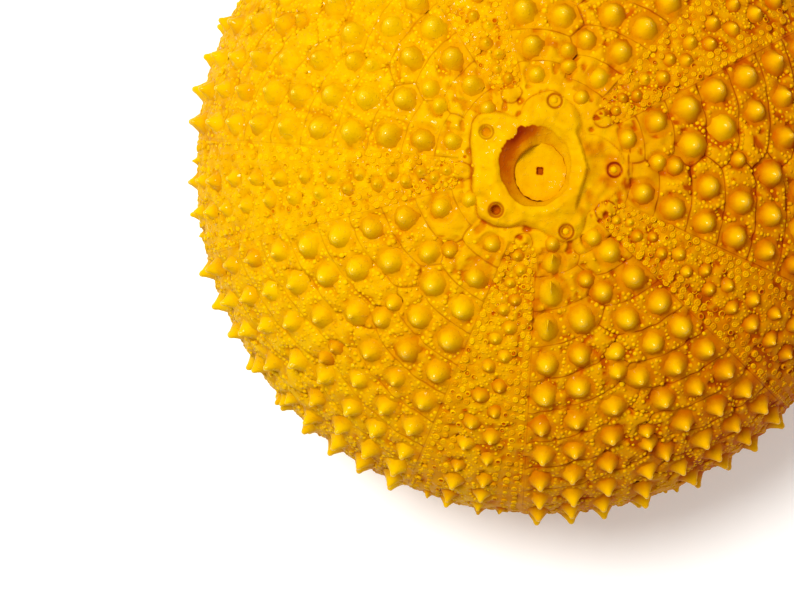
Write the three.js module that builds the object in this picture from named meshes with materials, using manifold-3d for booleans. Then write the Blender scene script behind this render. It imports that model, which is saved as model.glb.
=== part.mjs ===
// Sea urchin shell: the dry, spineless test of a regular sea urchin, lying on its mouth side.
// Millimetres, +Z up. The origin is on the resting plane, on the axis that joins mouth and apex.
import * as THREE from 'three';
import { mergeVertices } from 'three/addons/utils/BufferGeometryUtils.js';
import Module from 'manifold-3d';

// Overall shape of the test wall, without its tubercles
const TEST_RADIUS = 43.4;
const AMBITUS_Z = 18.6;
const DOME_HEIGHT = 26;
const WALL = 2.1;

// Resting ring, mouth and the small gill notches round the mouth
const RING_OUTER_RADIUS = 27.5;
const RING_INNER_RADIUS = 20.5;
const FLOOR_THICKNESS = 3.3;
const MOUTH_RADIUS = 13.6;
const MOUTH_SINK = 1.3;
const GILL_NOTCHES = 10;
const GILL_NOTCH_RADIUS = 0.9;

// Five pore bands (ambulacra): the bearing of each, and the widths across one of them, in degrees
const BAND_BEARINGS = [37.8, 112.5, 184.7, 257.2, 325.6];
const BAND_HALF_WIDTH = 9.9;
const BAND_MIDDLE_HALF_WIDTH = 3.5;
const BAND_TUBERCLE_OFFSET = 1.75;

// Tubercles: height, row spacing, and for each column how far it stands inside the band's edge
// (degrees) and how far from the axis it starts (millimetres)
const TUBERCLE_HEIGHT = 1.6;
const BAND_TUBERCLE_HEIGHT = 1;
const ROW_SPACING = 4.5;
const ROWS_ABOVE = 10;
const ROWS_BELOW = 2;
const COLUMN_OFFSETS = [3.9, 10.6, 17.9, 24];
const COLUMN_STARTS = [9, 19, 27, 32];
const FIRST_COLUMN_CLEARANCE = 1.7;

// Apical system: smooth collar of genital plates, its opening, which is a little off the axis,
// and the disc that closes it
const COLLAR_RADIUS = 5.6;
const COLLAR_FOOT_RADIUS = 7.9;
const COLLAR_RISE = 0.8;
const OPENING_CENTRE = [-0.6, -0.4];
const OPENING_TOP_RADIUS = 4.5;
const OPENING_RADIUS = 3.85;
const OPENING_DEPTH = 1.4;
const DISC_RADIUS = 3.5;
const DISC_THICKNESS = 0.9;
const DISC_BEVEL = 0.15;
const DISC_HOLE_RADIUS = 0.4;
const SEAT_GAP = 0.25;
const SEAT_RADIUS = 2.6;
const GONOPORE_DISTANCE = 8.2;
const GONOPORE_RADIUS = 0.55;

// Facets
const INNER_SEGMENTS = 36;
const ROUND_SEGMENTS = 24;
const HOLE_SEGMENTS = 8;
const INNER_ROWS = 6;

const radians = THREE.MathUtils.degToRad;
const BANDS = BAND_BEARINGS.length;
const BAND_SIDE_COLUMNS = 4;
const SECTOR_COLUMNS = 2 * (BAND_SIDE_COLUMNS - 1 + 2 * COLUMN_OFFSETS.length);

// Meridian of the wall: half an ellipse above the ambitus and one Bezier arc below it
const upperMeridian = (inset) =>
  new THREE.EllipseCurve(0, AMBITUS_Z, TEST_RADIUS - inset, DOME_HEIGHT - inset, 0, Math.PI / 2);
const lowerMeridian = (radius, floorRadius, floorZ) =>
  new THREE.CubicBezierCurve(
    new THREE.Vector2(radius, AMBITUS_Z),
    new THREE.Vector2(radius, AMBITUS_Z * 0.45),
    new THREE.Vector2(radius * 0.86, floorZ),
    new THREE.Vector2(floorRadius, floorZ),
  );
const wallAbove = upperMeridian(0);
const wallBelow = lowerMeridian(TEST_RADIUS, RING_OUTER_RADIUS, 0);

// A turned solid: a closed profile of [radius, height] pairs revolved about +Z
function turned(profile, segments) {
  const points = profile.map(([radius, height]) => new THREE.Vector2(radius, height));
  return new THREE.LatheGeometry(points, segments).rotateX(Math.PI / 2);
}

// Bearings of the grid columns at one distance from the axis. Each sector runs from the middle of
// one pore band to the middle of the next, with a tubercle column on every second grid column.
function columnBearings(distance) {
  const bearings = [];
  for (let band = 0; band < BANDS; band += 1) {
    const start = BAND_BEARINGS[band];
    const next = BAND_BEARINGS[(band + 1) % BANDS] + (band === BANDS - 1 ? 360 : 0);
    const half = (next - start) / 2;
    const clearance = THREE.MathUtils.radToDeg(FIRST_COLUMN_CLEARANCE / Math.max(distance, 4));
    const push = Math.max(clearance - COLUMN_OFFSETS[0], 0);
    const tips = COLUMN_OFFSETS.map((offset, k) => {
      const spread = BAND_HALF_WIDTH + offset * (half - BAND_HALF_WIDTH) / 26;
      return spread + push * (1 - k / COLUMN_OFFSETS.length);
    });
    const side = [0, BAND_TUBERCLE_OFFSET, BAND_MIDDLE_HALF_WIDTH, BAND_HALF_WIDTH];
    tips.forEach((tip, k) => side.push(tip, k < tips.length - 1 ? (tip + tips[k + 1]) / 2 : half));
    const rising = side.slice(0, -1).map((offset) => start + offset);
    const falling = side.slice(1).reverse().map((offset) => next - offset);
    bearings.push(...rising, ...falling);
  }
  return bearings;
}

// How far the surface stands off the wall at one grid point: a tubercle tip or nothing
function standOff(column, row, distance) {
  const place = column % SECTOR_COLUMNS;
  const mirrored = place > SECTOR_COLUMNS / 2;
  const side = mirrored ? SECTOR_COLUMNS - place : place;
  if ((row + (mirrored ? 1 : 0)) % 2 !== 0) return 0;
  if (side === 1) return BAND_TUBERCLE_HEIGHT;
  const tubercle = (side - BAND_SIDE_COLUMNS) / 2;
  if (!Number.isInteger(tubercle) || tubercle < 0 || tubercle >= COLUMN_STARTS.length) return 0;
  return distance > COLUMN_STARTS[tubercle] ? TUBERCLE_HEIGHT : 0;
}

// Rows of the outer grid, from the axis at the bottom to the axis at the top
function outerRows() {
  const rows = [{ radius: 0, height: 0 }, { radius: RING_OUTER_RADIUS, height: 0 }];
  const lengthBelow = wallBelow.getLength();
  const halfRow = ROW_SPACING / 2;
  const rowsBelow = 2 * ROWS_BELOW;
  const plainRows = 3;
  const plainLength = lengthBelow - rowsBelow * halfRow;
  for (let k = plainRows - 1; k > 0; k -= 1) {
    rows.push(rowOn(wallBelow, 1 - (plainLength * (plainRows - k)) / plainRows / lengthBelow, null));
  }
  for (let k = rowsBelow; k > 0; k -= 1) rows.push(rowOn(wallBelow, (k * halfRow) / lengthBelow, -k));
  const lengthAbove = wallAbove.getLength();
  for (let k = 0; k <= 2 * ROWS_ABOVE; k += 1) {
    rows.push(rowOn(wallAbove, (k * halfRow) / lengthAbove, k));
  }
  rows.push({ radius: COLLAR_FOOT_RADIUS, height: domeHeightAt(COLLAR_FOOT_RADIUS) });
  const collarZ = domeHeightAt(COLLAR_RADIUS) + COLLAR_RISE;
  rows.push({ radius: COLLAR_RADIUS + 0.8, height: collarZ - 0.15 });
  rows.push({ radius: COLLAR_RADIUS - 0.6, height: collarZ });
  rows.push({ radius: 0, height: collarZ - 0.4 });
  return rows;
}

function rowOn(curve, u, row) {
  const point = curve.getPointAt(u);
  const tangent = curve.getTangentAt(u);
  const normal = new THREE.Vector2(tangent.y, -tangent.x);
  if (normal.dot(new THREE.Vector2(point.x, point.y - AMBITUS_Z)) < 0) normal.negate();
  return { radius: point.x, height: point.y, normal, row };
}

function domeHeightAt(radius) {
  return AMBITUS_Z + DOME_HEIGHT * Math.sqrt(1 - (radius / TEST_RADIUS) ** 2);
}

// The outside as a closed body: a turned grid whose points are moved to the columns and tubercles
function outerGeometry() {
  const rows = outerRows();
  const segments = BANDS * SECTOR_COLUMNS;
  const geometry = turned(rows.map((row) => [row.radius, row.height]), segments);
  const position = geometry.attributes.position;
  for (let column = 0; column <= segments; column += 1) {
    rows.forEach((row, j) => {
      const bearing = radians(columnBearings(row.radius)[column % segments]);
      let radius = row.radius;
      let height = row.height;
      if (row.normal) {
        const rise = row.row === null
          ? TUBERCLE_HEIGHT * 0.7
          : standOff(column % segments, Math.abs(row.row), row.radius);
        radius += rise * row.normal.x;
        height = Math.max(height + rise * row.normal.y, 0.05);
      }
      const index = column * rows.length + j;
      position.setXYZ(index, radius * Math.cos(bearing), radius * Math.sin(bearing), height);
    });
  }
  return geometry;
}

// The cavity: the same meridians, one wall thickness further in
function cavityGeometry() {
  const below = lowerMeridian(TEST_RADIUS - WALL, RING_OUTER_RADIUS, FLOOR_THICKNESS);
  const lower = below.getSpacedPoints(INNER_ROWS).reverse().slice(0, -1);
  const upper = upperMeridian(WALL).getSpacedPoints(INNER_ROWS + 1).slice(0, -1);
  const profile = [...lower, ...upper].map((point) => [point.x, point.y]);
  return turned([[0, FLOOR_THICKNESS], ...profile, [0, AMBITUS_Z + DOME_HEIGHT - WALL]], INNER_SEGMENTS);
}

// The mouth: a shallow cone up to the lip, then straight into the cavity
function mouthGeometry() {
  const slope = (RING_INNER_RADIUS - MOUTH_RADIUS) / MOUTH_SINK;
  const below = 2;
  const lip = 0.5;
  return turned([
    [0, -below],
    [RING_INNER_RADIUS + slope * below, -below],
    [MOUTH_RADIUS, MOUTH_SINK],
    [MOUTH_RADIUS - lip, MOUTH_SINK + lip],
    [MOUTH_RADIUS - lip, FLOOR_THICKNESS + 1],
    [0, FLOOR_THICKNESS + 1],
  ], INNER_SEGMENTS);
}

function gillNotchGeometry(index) {
  const angle = radians(BAND_BEARINGS[Math.floor(index / 2)] + (index % 2 ? 1 : -1) * BAND_HALF_WIDTH);
  return new THREE.CylinderGeometry(GILL_NOTCH_RADIUS, GILL_NOTCH_RADIUS, 2 * FLOOR_THICKNESS, HOLE_SEGMENTS)
    .rotateX(Math.PI / 2)
    .translate(MOUTH_RADIUS * Math.cos(angle), MOUTH_RADIUS * Math.sin(angle), FLOOR_THICKNESS);
}

// The apical opening: a funnel down to the disc's seat, and a hole through the seat
const COLLAR_TOP_Z = domeHeightAt(COLLAR_RADIUS) + COLLAR_RISE;
const DISC_TOP_Z = COLLAR_TOP_Z - OPENING_DEPTH;
const SEAT_Z = DISC_TOP_Z - DISC_THICKNESS - SEAT_GAP;

function openingGeometry() {
  const above = 2;
  return turned([
    [0, SEAT_Z - 2 * WALL],
    [SEAT_RADIUS, SEAT_Z - 2 * WALL],
    [SEAT_RADIUS, SEAT_Z],
    [OPENING_RADIUS, SEAT_Z],
    [OPENING_RADIUS, DISC_TOP_Z],
    [OPENING_TOP_RADIUS, COLLAR_TOP_Z - 0.3],
    [OPENING_TOP_RADIUS + 0.5, COLLAR_TOP_Z + above],
    [0, COLLAR_TOP_Z + above],
  ], ROUND_SEGMENTS).translate(...OPENING_CENTRE, 0);
}

function gonoporeGeometry(index) {
  const next = BAND_BEARINGS[(index + 1) % BANDS] + (index === BANDS - 1 ? 360 : 0);
  const angle = radians((BAND_BEARINGS[index] + next) / 2);
  return new THREE.CylinderGeometry(GONOPORE_RADIUS, GONOPORE_RADIUS, 4 * WALL, HOLE_SEGMENTS)
    .rotateX(Math.PI / 2)
    .translate(
      GONOPORE_DISTANCE * Math.cos(angle),
      GONOPORE_DISTANCE * Math.sin(angle),
      domeHeightAt(GONOPORE_DISTANCE) - WALL / 2,
    );
}

function discGeometry() {
  const bottom = DISC_TOP_Z - DISC_THICKNESS;
  return turned([
    [DISC_HOLE_RADIUS, bottom],
    [DISC_RADIUS - DISC_BEVEL, bottom],
    [DISC_RADIUS, bottom + DISC_BEVEL],
    [DISC_RADIUS, DISC_TOP_Z - DISC_BEVEL],
    [DISC_RADIUS - DISC_BEVEL, DISC_TOP_Z],
    [DISC_HOLE_RADIUS, DISC_TOP_Z],
    [DISC_HOLE_RADIUS, bottom],
  ], ROUND_SEGMENTS).translate(...OPENING_CENTRE, 0);
}

// Booleans: a geometry goes in as welded triangles and comes back as a plain geometry
const wasm = await Module();
wasm.setup();

function solid(geometry) {
  const bare = geometry.clone();
  bare.deleteAttribute('normal');
  bare.deleteAttribute('uv');
  const welded = mergeVertices(bare);
  const index = Array.from(welded.index.array);
  const kept = [];
  for (let k = 0; k < index.length; k += 3) {
    const [a, b, c] = index.slice(k, k + 3);
    if (a !== b && b !== c && c !== a) kept.push(a, b, c);
  }
  const vertProperties = new Float32Array(welded.attributes.position.array);
  return new wasm.Manifold(new wasm.Mesh({ numProp: 3, vertProperties, triVerts: new Uint32Array(kept) }));
}

function plainGeometry(manifold) {
  const mesh = manifold.getMesh();
  const geometry = new THREE.BufferGeometry();
  geometry.setAttribute('position', new THREE.BufferAttribute(mesh.vertProperties, 3));
  geometry.setIndex(new THREE.BufferAttribute(mesh.triVerts, 1));
  geometry.computeVertexNormals();
  return geometry;
}

function shellGeometry() {
  let shell = solid(outerGeometry());
  const cuts = [cavityGeometry(), mouthGeometry(), openingGeometry()];
  for (let k = 0; k < BANDS; k += 1) cuts.push(gonoporeGeometry(k));
  for (let k = 0; k < GILL_NOTCHES; k += 1) cuts.push(gillNotchGeometry(k));
  cuts.forEach((cut) => {
    shell = shell.subtract(solid(cut));
  });
  return plainGeometry(shell);
}

function part(name, geometry, material) {
  const mesh = new THREE.Mesh(geometry, material);
  mesh.name = name;
  return mesh;
}

const yellow = new THREE.MeshStandardMaterial({ color: 0xf2a900, roughness: 0.42, metalness: 0 });
const paleYellow = new THREE.MeshStandardMaterial({ color: 0xf5b400, roughness: 0.5, metalness: 0 });

const group = new THREE.Group();
group.add(part('shell', shellGeometry(), yellow));
group.add(part('periproct_disc', discGeometry(), paleYellow));

export default group;
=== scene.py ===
"""Sea urchin shell: the dry test of a regular sea urchin, lying on its mouth side."""
import math

import bpy
import numpy as np
from mathutils import Matrix, Vector


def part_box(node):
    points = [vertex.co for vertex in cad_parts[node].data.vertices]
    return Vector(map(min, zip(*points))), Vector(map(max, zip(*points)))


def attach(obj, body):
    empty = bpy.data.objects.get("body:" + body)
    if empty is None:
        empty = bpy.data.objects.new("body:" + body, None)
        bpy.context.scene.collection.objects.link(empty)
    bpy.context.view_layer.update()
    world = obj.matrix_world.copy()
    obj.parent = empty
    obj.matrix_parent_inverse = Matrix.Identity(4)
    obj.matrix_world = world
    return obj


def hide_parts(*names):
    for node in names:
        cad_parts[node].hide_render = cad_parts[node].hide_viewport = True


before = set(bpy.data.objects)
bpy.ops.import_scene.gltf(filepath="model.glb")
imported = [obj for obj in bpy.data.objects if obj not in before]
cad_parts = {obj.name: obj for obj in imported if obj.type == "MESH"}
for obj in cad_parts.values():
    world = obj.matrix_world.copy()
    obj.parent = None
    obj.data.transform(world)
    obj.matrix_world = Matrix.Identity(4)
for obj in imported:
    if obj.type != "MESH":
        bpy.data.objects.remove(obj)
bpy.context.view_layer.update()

bl_info = {
    "name": "Sea urchin shell",
    "version": (1, 0, 0),
    "blender": (4, 5, 0),
    "location": "View3D > Sidebar > Urchin",
    "description": "Builds the wall, tubercles, granules, pores and disc of a sea urchin shell",
    "category": "Add Mesh",
}

SHELL_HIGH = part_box("shell")[1]
DISC_LOW, DISC_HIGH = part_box("periproct_disc")
MM = 0.001

# Overall form, in metres where nothing else is said. The tips reach the CAD box's sides.
TUBERCLE_HEIGHT = 1.7 * MM
WALL_RADIUS = max(SHELL_HIGH[1], SHELL_HIGH[0]) - TUBERCLE_HEIGHT * 0.94
AMBITUS_HEIGHT = 18.6 * MM
DOME_RISE = 26 * MM
WALL_THICKNESS = 2.1 * MM
FOOT_SHARE = 0.86
REST_RADIUS = 27.5 * MM
REST_HEIGHT = 1.1 * MM
FLOOR_HEIGHT = 3.3 * MM
MOUTH_RADIUS = 13.6 * MM
LIP_HEIGHT = REST_HEIGHT + 1.5 * MM
GILL_NOTCH = 0.9 * MM

# Pore bands, in degrees
BAND_BEARINGS = np.array([37.8, 112.5, 184.7, 257.2, 325.6])
BAND_HALF_WIDTH = 9.9
ZIGZAG = 2.2
ZIGZAG_REACH = 10.0

# Plates and tubercle columns; the shifts are of each sector's rows and middle line
ROW_SHIFT = np.array([0.1, 0.35, 1.15, -1.15, 0.2]) * MM
MIDDLE_SHIFT = np.array([0.0, 0.2, 1.4, 0.9, -0.3])
LEAN_FADE = 1.6
SEAM_REACH = 0.6 * MM
PLATE_HEIGHT = 4.45 * MM
FIRST_PLATE_HEIGHT = 2.9 * MM
LAST_PLATE_HEIGHT = 2.1 * MM
FIRST_ROW = 7.9 * MM
COLUMN_EDGE = 2.0 * MM
COLUMN_SPACING = 4.1 * MM
COLUMN_ROOM = 0.45 * MM
TUBERCLE_GAP = 2.75 * MM
# degrees from the middle of a band of its inner and outer small tubercles
INNER_BAND_COLUMN = 1.85
OUTER_BAND_COLUMN = 6.1
OUTER_COLUMN_REACH = 7 * MM
SLOPE_LINEAR = 2.4 * MM
SLOPE_SQUARE = 1.8 * MM
BAND_PLATE_SHARE = 0.86

# Apical system
JOIN_RADIUS = 9.7 * MM
OPENING_CENTRE = np.array([-0.7, -0.1]) * MM
OPENING_RADII = np.array([4.3, 4.85]) * MM
BREAK_BEARING = 125
DISC_CENTRE = np.array([(DISC_LOW[k] + DISC_HIGH[k]) / 2 for k in (0, 1)])
PLATE_CENTRE = DISC_CENTRE + np.array([0.45, -0.5]) * MM
PLATE_RADII = np.array([0.83, 0.93]) * (DISC_HIGH[0] - DISC_LOW[0]) / 2
BORE_GAP = 0.14 * MM
SEAT_RADIUS = 2.6 * MM
COLLAR_RISE = 0.8 * MM
GONOPORE_BEARINGS = np.array([78.0, 148.6, 224.7, 290.9, 356.4])
GONOPORE_REACH = np.array([7.8, 7.6, 7.5, 8.4, 8.7]) * MM
GONOPORE_DEPTHS = np.array([0.10, 0.45, 1.2, 0.35, 0.0]) * MM
GONOPORE_RADIUS = 0.84 * MM
GONOPORE_RINGS = (0.8, 0.25, 0.9, 0.8, 1.0)
MADREPORITE_BEARING = GONOPORE_BEARINGS[4]
MADREPORITE_MIDDLE = 356
MADREPORITE_HALF_WIDTH = 22
MADREPORITE_REACH = 10.3 * MM
CREST_REACH = 5.3 * MM
SHADED_BEARING = 160
BAND_END_REACH = 9.3 * MM
BAND_END_RADIUS = 1.15 * MM
# place and size of each crevice, in millimetres
CREVICES = ((6.5, 5.6, 0.5), (7.1, 6.1, 0.3), (-8.6, -4.3, 0.45), (-2.5, -8.5, 0.5),
            (7.7, -5.8, 0.5), (6.9, -6.6, 0.3), (9.5, -11.2, 0.6), (12.3, -13.7, 0.5),
            (8.4, 8.6, 0.35), (-9.0, 1.0, 0.3))
# bearing in degrees and distance from the axis in millimetres
COLLAR_OUTLINE = ((0, 9.9), (18, 8.6), (39, 5.9), (62, 8.0), (81, 9.0), (103, 7.6), (116, 6.1),
                  (135, 9.2), (145, 9.8), (152, 9.1), (180, 8.0), (204, 8.6), (221, 9.7),
                  (236, 8.9), (250, 7.3), (268, 7.5), (279, 8.7), (288, 9.8), (299, 9.7),
                  (315, 7.6), (335, 9.2))

# Grid of the wall
SECTORS = 5
BAND_STEPS = 9
HALF_STEPS = 28
WALL_STEPS = SECTORS * (2 * BAND_STEPS + 2 * (HALF_STEPS + 3))
SEED = 7


def smooth(low, high, value):
    """A step from 0 at low to 1 at high, with rounded ends."""
    share = np.clip((value - low) / (high - low), 0, 1)
    return share * share * (3 - 2 * share)


def groove(distance, width):
    """A rounded cut, 1 on its line and falling away over its width."""
    return np.exp(-(distance / width) ** 2)


def compass(x, y):
    """Bearing of places round the axis, in degrees from 0 to 360."""
    return np.degrees(np.arctan2(y, x)) % 360


def around_axis(bearings, reach):
    """Places at given bearings and distances from the axis."""
    turns = np.radians(bearings)
    return np.stack([reach * np.cos(turns), reach * np.sin(turns)], 1)


def bezier(points, count):
    """Points along a cubic Bezier arc."""
    t = np.linspace(0, 1, count)[:, None]
    a, b, c, d = (np.array(p) for p in points)
    return (1 - t) ** 3 * a + 3 * (1 - t) ** 2 * t * b + 3 * (1 - t) * t ** 2 * c + t ** 3 * d


def lumps(points, size, seed=0):
    """Smooth random values from -1 to 1 that vary over a given distance."""
    lattice = dice(seed).uniform(-1, 1, (24, 24, 24))
    cell = np.floor(points / size).astype(int)
    part = points / size - cell
    part = part * part * (3 - 2 * part)
    total = np.zeros(points.shape[:-1])
    for corner in np.ndindex(2, 2, 2):
        weight = np.prod(np.where(np.array(corner) == 1, part, 1 - part), axis=-1)
        total += weight * lattice[tuple(np.moveaxis((cell + corner) % 24, -1, 0))]
    return total


def dice(number):
    """The seeded random draws of one step."""
    return np.random.default_rng(SEED + number)


class Meridian:
    """The wall's outline from apex to mouth, with its plate rows counted along it."""

    def __init__(self):
        angle = np.linspace(math.pi / 2, 0, 1500)
        dome = np.stack([WALL_RADIUS * np.cos(angle),
                         AMBITUS_HEIGHT + DOME_RISE * np.sin(angle)], 1)
        flank = bezier([(WALL_RADIUS, AMBITUS_HEIGHT), (WALL_RADIUS, AMBITUS_HEIGHT * 0.45),
                        (WALL_RADIUS * FOOT_SHARE, REST_HEIGHT), (REST_RADIUS, REST_HEIGHT)], 1000)
        sole = bezier([(REST_RADIUS, REST_HEIGHT), (22 * MM, REST_HEIGHT),
                       (17 * MM, REST_HEIGHT + 0.4 * MM), (MOUTH_RADIUS, LIP_HEIGHT)], 500)
        line = np.concatenate([dome, flank[1:], sole[1:]])
        steps = np.linalg.norm(np.diff(line, axis=0), axis=1)
        self.length = np.concatenate([[0], np.cumsum(steps)])
        self.line = line
        tangent = np.gradient(line, self.length, axis=0)
        tangent /= np.linalg.norm(tangent, axis=1)[:, None]
        self.normal = np.stack([-tangent[:, 1], tangent[:, 0]], 1)
        self.rim = self.length[len(dome) - 1]
        self.end = self.length[-1]
        height = self.plate_height(self.length)
        count = np.concatenate([[0], np.cumsum(steps / ((height[1:] + height[:-1]) / 2))])
        self.count = count - np.interp(FIRST_ROW, self.length, count)

    def plate_height(self, along):
        growth = smooth(8 * MM, 18 * MM, along)
        upper = FIRST_PLATE_HEIGHT + (PLATE_HEIGHT - FIRST_PLATE_HEIGHT) * growth
        fall = np.clip((along - self.rim - 2 * MM) / (self.end - self.rim - 2 * MM), 0, 1)
        return upper + (LAST_PLATE_HEIGHT - PLATE_HEIGHT) * fall

    def plate_share(self, along):
        """Height of the plates against the tallest."""
        return self.plate_height(along) / PLATE_HEIGHT

    def row_at(self, along):
        return np.interp(along, self.length, self.count)

    def along_at(self, row):
        return np.interp(row, self.count, self.length)

    def point(self, along):
        return [np.interp(along, self.length, self.line[:, k]) for k in (0, 1)]

    def outward(self, along):
        return [np.interp(along, self.length, self.normal[:, k]) for k in (0, 1)]


class Surface:
    """Places on the wall, given by plate row, degrees past a band's middle, and sector."""

    def __init__(self):
        self.meridian = Meridian()
        ends = np.append(BAND_BEARINGS[1:], BAND_BEARINGS[0] + 360)
        self.width = ends - BAND_BEARINGS

    def offset(self, turn, sector):
        """Degrees from the middle of the nearer band."""
        return np.minimum(turn, self.width[sector] - turn)

    def beside_band(self, band, side, offset):
        """Turn and sector of a place some degrees to one side of a band's middle."""
        if side > 0:
            return offset, band
        before = (band - 1) % SECTORS
        return self.width[before] - offset, before

    def lean(self, turn, sector):
        """How far a plate row rises towards the middle of its sector."""
        reach = self.width[sector] / 2 - BAND_HALF_WIDTH
        share = np.clip((self.offset(turn, sector) - BAND_HALF_WIDTH) / reach, 0, 1)
        return SLOPE_LINEAR * share + SLOPE_SQUARE * share ** 2

    def ease(self, along):
        """Fades the slanting and zigzag of the plates out near the apex and the mouth."""
        end = self.meridian.end
        return smooth(9.6 * MM, 15 * MM, along) * smooth(end - 1 * MM, end - 9 * MM, along)

    def slant(self, lean, level):
        """What is left of a lean at a level, less of it where the wall is narrower."""
        radius = self.meridian.point(level)[0]
        return lean * self.ease(level) * (radius / WALL_RADIUS) ** LEAN_FADE

    def locate(self, row, turn, sector):
        """Unraised place on the wall: length along the meridian, bearing, radius and height."""
        level = self.meridian.along_at(row)
        ease = self.ease(level)
        half = self.width[sector] / 2
        along = level - self.slant(self.lean(turn, sector), level)
        shift = ROW_SHIFT[sector] * ease * smooth(2, BAND_HALF_WIDTH, self.offset(turn, sector))
        along = along + shift
        swing = 1 - 4 * np.abs(row - np.floor(row) - 0.5)
        pull = np.clip(1 - np.abs(turn - half) / ZIGZAG_REACH, 0, 1)
        moved = (ZIGZAG * swing + MIDDLE_SHIFT[sector]) * pull * ease
        bearing = np.radians(BAND_BEARINGS[sector] + turn + moved)
        radius, height = self.meridian.point(along)
        return along, bearing, radius, height

    def place(self, row, turn, sector, rise=0.0):
        """Raised points on the wall, and the wall's outward directions there."""
        along, bearing, radius, height = self.locate(row, turn, sector)
        out, up = self.meridian.outward(along)
        cosine, sine = np.cos(bearing), np.sin(bearing)
        normal = np.stack(np.broadcast_arrays(out * cosine, out * sine, up), -1)
        base = np.stack(np.broadcast_arrays(radius * cosine, radius * sine, height), -1)
        return base + normal * np.asarray(rise)[..., None], normal

    def stand(self, sites, rise=0.0):
        """Points and outward directions of a table of sites."""
        return self.place(sites[:, 0], sites[:, 1], sites[:, 2].astype(int), rise)

    def plate_lines(self, row, turn, sector):
        """Degrees from the band, and distances to the plate seam, the middle line and the band's
        edge."""
        along, _, radius, _ = self.locate(row, turn, sector)
        width = self.width[sector]
        offset = self.offset(turn, sector)
        counted = row + 0.5 * (turn > width / 2)
        seam = np.abs(counted - np.round(counted)) * self.meridian.plate_height(along)
        middle = np.radians(np.abs(turn - width / 2)) * radius
        edge = np.radians(np.abs(offset - BAND_HALF_WIDTH)) * radius
        return along, offset, seam, middle, edge

    def shifted(self, site, across, down):
        """The row and turn of points a given way from a site, across and down the wall."""
        row, turn, sector = site
        level = self.meridian.along_at(row)
        new_turn = turn + np.degrees(across / self.meridian.point(level)[0])
        lean = self.lean(new_turn, sector) - self.lean(turn, sector)
        return self.meridian.row_at(level + down + self.slant(lean, level)), new_turn


SURFACE = Surface()
MERIDIAN = SURFACE.meridian


def tubercle_sites():
    """Main tubercles: row, turn, sector and size of each, columns running beside the bands."""
    rng = dice(0)
    sites = []
    last_row = MERIDIAN.row_at(MERIDIAN.end - 2.5 * MM)
    for sector in range(SECTORS):
        half = SURFACE.width[sector] / 2
        for side in (0, 1):
            row = 0.5 + 0.5 * side
            while row < last_row:
                level = MERIDIAN.along_at(row)
                share = MERIDIAN.plate_share(level)
                column = 0
                while True:
                    reach = (COLUMN_EDGE * (0.8 + 0.2 * share)
                             + column * COLUMN_SPACING * share ** 0.8)
                    along = level
                    for _ in range(4):
                        radius = MERIDIAN.point(along)[0]
                        offset = BAND_HALF_WIDTH + math.degrees(reach / radius)
                        along = level - SURFACE.slant(SURFACE.lean(offset, sector), level)
                    room = math.radians(half - offset) * radius
                    if room < COLUMN_ROOM * share:
                        break
                    growth = (0.66 + 0.34 * float(smooth(0.5 * MM, 2.4 * MM, room))
                              if column else 1.0)
                    young = 0.9 + 0.1 * float(smooth(9 * MM, 17 * MM, level))
                    young *= 0.99 - 0.06 * float(smooth(24 * MM, 44 * MM, level))
                    size = share ** 0.7 * growth * young * (1 + rng.normal(0, 0.035))
                    shake = rng.normal(0, 0.1 * MM, 2)
                    turn = offset if side == 0 else 2 * half - offset
                    turn += math.degrees(shake[0] / radius)
                    place = MERIDIAN.row_at(level + shake[1])
                    sites.append((place, turn, sector, size, column))
                    column += 1
                row += 1
    sites = np.array(sites)
    points = SURFACE.stand(sites)[0]
    x, y = points[:, 0], points[:, 1]
    in_front = np.abs(compass(x, y) - MADREPORITE_MIDDLE) < MADREPORITE_HALF_WIDTH
    on_collar = in_front & (np.hypot(x, y) < MADREPORITE_REACH)
    kept = []
    for k in np.argsort(sites[:, 4], kind="stable"):
        gaps = np.linalg.norm(points[kept] - points[k], axis=1) if kept else np.array([1.0])
        if gaps.min() > TUBERCLE_GAP * sites[k, 3] and not on_collar[k]:
            kept.append(k)
    return sites[kept, :4]


def band_tubercle_sites():
    """Small tubercles in two alternating columns down the middle of each pore band."""
    rng = dice(1)
    sites = []
    last_row = MERIDIAN.row_at(MERIDIAN.end - 2 * MM)
    for band in range(SECTORS):
        for side in (-1, 1):
            row = 1.1 + 0.25 * (side + 1) * BAND_PLATE_SHARE
            while row < last_row:
                level = MERIDIAN.along_at(row)
                share = MERIDIAN.plate_share(level)
                spreading = 0.8 * float(smooth(20 * MM, 45 * MM, level))
                inner = INNER_BAND_COLUMN + spreading + rng.normal(0, 0.12)
                grown = 0.46 + 0.24 * float(smooth(14 * MM, 40 * MM, level))
                size = grown * share ** 0.6 * (1 + rng.normal(0, 0.07))
                sites.append((row + rng.normal(0, 0.03),
                              *SURFACE.beside_band(band, side, inner), size))
                outer = OUTER_BAND_COLUMN + rng.normal(0, 0.2)
                if abs(level - MERIDIAN.rim) < OUTER_COLUMN_REACH:
                    sites.append((row + 0.4 + rng.normal(0, 0.03),
                                  *SURFACE.beside_band(band, side, outer), 0.36 * share ** 0.6))
                row += BAND_PLATE_SHARE
    return np.array(sites)


TUBERCLES = tubercle_sites()
BAND_TUBERCLES = band_tubercle_sites()
ALL_CENTRES = np.concatenate([SURFACE.stand(TUBERCLES)[0], SURFACE.stand(BAND_TUBERCLES)[0]])
ALL_SIZES = np.concatenate([TUBERCLES[:, 3], BAND_TUBERCLES[:, 3] * 0.94])


def nearest_tubercle(points):
    """Distance to the nearest tubercle, in millimetres times its size, for each point."""
    flat = points.reshape(-1, 3)
    found = np.empty(len(flat))
    chunk = 4000
    for start in range(0, len(flat), chunk):
        part = flat[start:start + chunk]
        gaps = part[:, None, :] - ALL_CENTRES[None]
        found[start:start + chunk] = (np.sqrt((gaps ** 2).sum(2)) / ALL_SIZES).min(1)
    return found.reshape(points.shape[:-1]) / MM


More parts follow.
